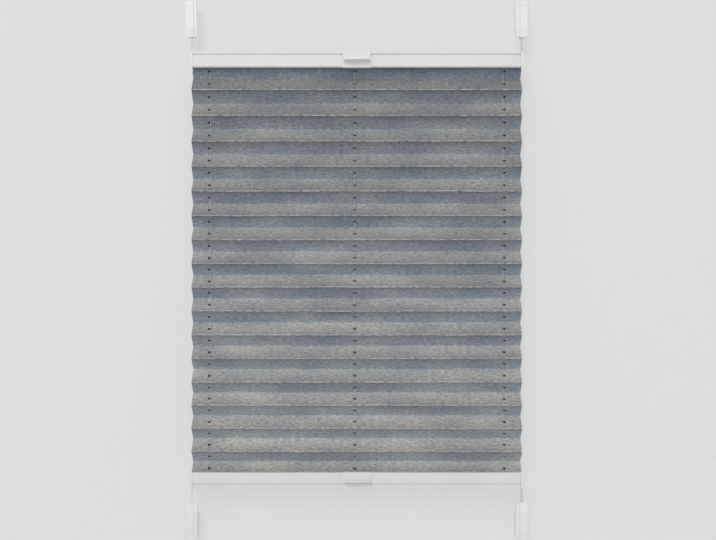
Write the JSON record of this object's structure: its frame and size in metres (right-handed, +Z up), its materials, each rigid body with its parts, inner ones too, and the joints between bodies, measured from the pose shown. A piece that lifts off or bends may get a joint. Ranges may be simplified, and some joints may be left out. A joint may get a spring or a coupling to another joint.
{
  "type": "pleated blind",
  "caption": "Clip-on pleated blind: a punched zigzag cloth between two sliding rails on tight cords, held by clamps that grip a window sash.",
  "frame": {"origin": "centre of the whole blind's box, midway between the rails", "axes": "+X to the right seen from the room, +Y towards the glass, +Z up"},
  "size_m": [0.4134, 0.0464, 0.6454],
  "materials": {
    "rail_white": "satin",
    "cap_white": "satin",
    "handle_white": "satin",
    "clamp_white": "satin",
    "shoe_white": "matte",
    "strip_white": "matte",
    "pad_foam": "matte",
    "pleated_cloth": "woven, creased",
    "cord_grey": "braided"
  },
  "bodies": {
    "clamps_and_cloth": {"clamp_front_top_left": "clamp_white", "clamp_front_top_right": "clamp_white", "clamp_front_bottom_left": "clamp_white", "clamp_front_bottom_right": "clamp_white", "clamp_pad_top_left": "pad_foam", "clamp_pad_top_right": "pad_foam", "clamp_pad_bottom_left": "pad_foam", "clamp_pad_bottom_right": "pad_foam", "tension_shoe_top_left": "shoe_white", "tension_shoe_top_right": "shoe_white", "tension_shoe_bottom_left": "shoe_white", "tension_shoe_bottom_right": "shoe_white", "pleated_cloth": "pleated_cloth", "cord_left_to_right": "cord_grey", "cord_right_to_left": "cord_grey", "cord_right_to_middle": "cord_grey"},
    "top_rail": {"top_rail": "rail_white", "top_cloth_strip": "strip_white", "end_cap_top_left": "cap_white", "end_cap_top_right": "cap_white", "cord_saddle_top_left": "shoe_white", "cord_saddle_top_middle": "shoe_white", "cord_saddle_top_right": "shoe_white"},
    "bottom_rail": {"bottom_rail": "rail_white", "bottom_cloth_strip": "strip_white", "end_cap_bottom_left": "cap_white", "end_cap_bottom_right": "cap_white", "cord_saddle_bottom_left": "shoe_white", "cord_saddle_bottom_middle": "shoe_white", "cord_saddle_bottom_right": "shoe_white"},
    "top_handle": {"top_handle": "handle_white"},
    "bottom_handle": {"bottom_handle": "handle_white"},
    "hook_top_left": {"clamp_hook_top_left": "clamp_white"},
    "hook_top_right": {"clamp_hook_top_right": "clamp_white"},
    "hook_bottom_left": {"clamp_hook_bottom_left": "clamp_white"},
    "hook_bottom_right": {"clamp_hook_bottom_right": "clamp_white"}
  },
  "joints": [
    {"name": "top_rail_slide", "type": "slide", "parent": "clamps_and_cloth", "child": "top_rail", "axis": [0, 0, -1], "range_m": [0, 0.225], "deforming": ["pleated_cloth", "cord_left_to_right", "cord_right_to_left", "cord_right_to_middle"]},
    {"name": "bottom_rail_slide", "type": "slide", "parent": "clamps_and_cloth", "child": "bottom_rail", "axis": [0, 0, 1], "range_m": [0, 0.225], "deforming": ["pleated_cloth", "cord_left_to_right", "cord_right_to_left", "cord_right_to_middle"]},
    {"name": "top_handle_slide", "type": "slide", "parent": "top_rail", "child": "top_handle", "axis": [1, 0, 0], "range_m": [-0.15, 0.15]},
    {"name": "bottom_handle_slide", "type": "slide", "parent": "bottom_rail", "child": "bottom_handle", "axis": [1, 0, 0], "range_m": [-0.15, 0.15]},
    {"name": "hook_top_left_slide", "type": "slide", "parent": "clamps_and_cloth", "child": "hook_top_left", "axis": [0, 1, 0], "range_m": [-0.005, 0.005]},
    {"name": "hook_top_right_slide", "type": "slide", "parent": "clamps_and_cloth", "child": "hook_top_right", "axis": [0, 1, 0], "range_m": [-0.005, 0.005]},
    {"name": "hook_bottom_left_slide", "type": "slide", "parent": "clamps_and_cloth", "child": "hook_bottom_left", "axis": [0, 1, 0], "range_m": [-0.005, 0.005]},
    {"name": "hook_bottom_right_slide", "type": "slide", "parent": "clamps_and_cloth", "child": "hook_bottom_right", "axis": [0, 1, 0], "range_m": [-0.005, 0.005]}
  ]
}
